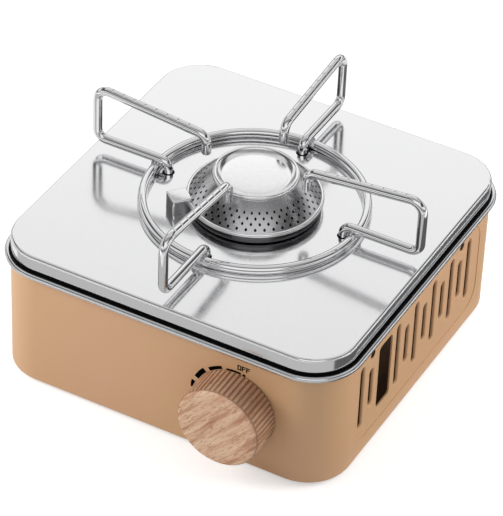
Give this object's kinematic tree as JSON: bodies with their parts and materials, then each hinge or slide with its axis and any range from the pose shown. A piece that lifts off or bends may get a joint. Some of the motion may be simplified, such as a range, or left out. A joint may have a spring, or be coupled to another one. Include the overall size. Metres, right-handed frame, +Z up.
{
  "type": "cassette stove",
  "caption": "Compact butane cassette stove: square painted body with a vented side, raised steel top, perforated burner, lift-off wire pot support and a fluted wooden gas knob.",
  "frame": {"origin": "on the table plane, under the centre of the burner", "axes": "+X to the vented side, -Y to the knob side, +Z up"},
  "size_m": [0.22, 0.2373, 0.134],
  "materials": {
    "body_paint": "satin",
    "top_steel": "brushed",
    "rim_steel": "polished",
    "burner_steel": "satin",
    "sheet_steel": "zinc plated",
    "cast_metal": "as cast",
    "brass": "machined",
    "screw_steel": "zinc plated",
    "dark_screw": "painted",
    "foot_rubber": "matt",
    "knob_wood": "oiled",
    "black_plastic": "matt",
    "piezo_plastic": "moulded",
    "lead_rubber": "silicone",
    "ceramic": "glazed",
    "wire_steel": "polished",
    "magnet": "sintered"
  },
  "bodies": {
    "base": {"body_shell": "body_paint", "base_plate": "sheet_steel", "base_screws": "screw_steel", "foot_front_left": "foot_rubber", "foot_front_right": "foot_rubber", "foot_back_left": "foot_rubber", "foot_back_right": "foot_rubber", "rim_frame": "rim_steel", "top_plate": "top_steel", "bracket_left": "sheet_steel", "bracket_right": "sheet_steel", "side_screws": "dark_screw", "burner_cap": "top_steel", "burner_skirt": "burner_steel", "burner_cup": "burner_steel", "burner_stem": "cast_metal", "burner_screws": "screw_steel", "mixing_tube": "cast_metal", "gas_jet": "brass", "regulator_body": "cast_metal", "diaphragm_cover": "cast_metal", "regulator_bracket": "sheet_steel", "regulator_screws": "screw_steel", "inlet_nozzle": "brass", "canister_socket": "sheet_steel", "socket_magnets": "magnet", "heat_shield": "sheet_steel", "canister_cradle": "sheet_steel", "port_ring": "black_plastic", "panel_bush": "black_plastic", "piezo_body": "piezo_plastic", "piezo_clip": "sheet_steel", "igniter_lead": "lead_rubber", "electrode": "ceramic", "electrode_tip": "screw_steel", "spark_shield": "top_steel"},
    "knob": {"knob": "knob_wood", "knob_insert": "brass", "valve_spindle": "brass"},
    "plunger": {"piezo_plunger": "screw_steel"},
    "pot_support": {"pot_ring": "wire_steel", "pot_arm_right": "wire_steel", "pot_arm_back": "wire_steel", "pot_arm_left": "wire_steel", "pot_arm_front": "wire_steel"}
  },
  "joints": [
    {"name": "knob_turn", "type": "hinge", "parent": "base", "child": "knob", "pos_m": [0.0485, -0.097, 0.04], "axis": [0, -1, 0], "range_deg": [0, 110]},
    {"name": "plunger_slide", "type": "slide", "parent": "base", "child": "plunger", "axis": [-1, 0, 0], "range_m": [0, 0.005]},
    {"name": "support_lift", "type": "slide", "parent": "base", "child": "pot_support", "axis": [0, 0, 1], "range_m": [0, 0.055]}
  ],
  "couplings": [
    {"joint": "plunger_slide", "follows": "knob_turn", "m_per_rad": 0.0026}
  ]
}
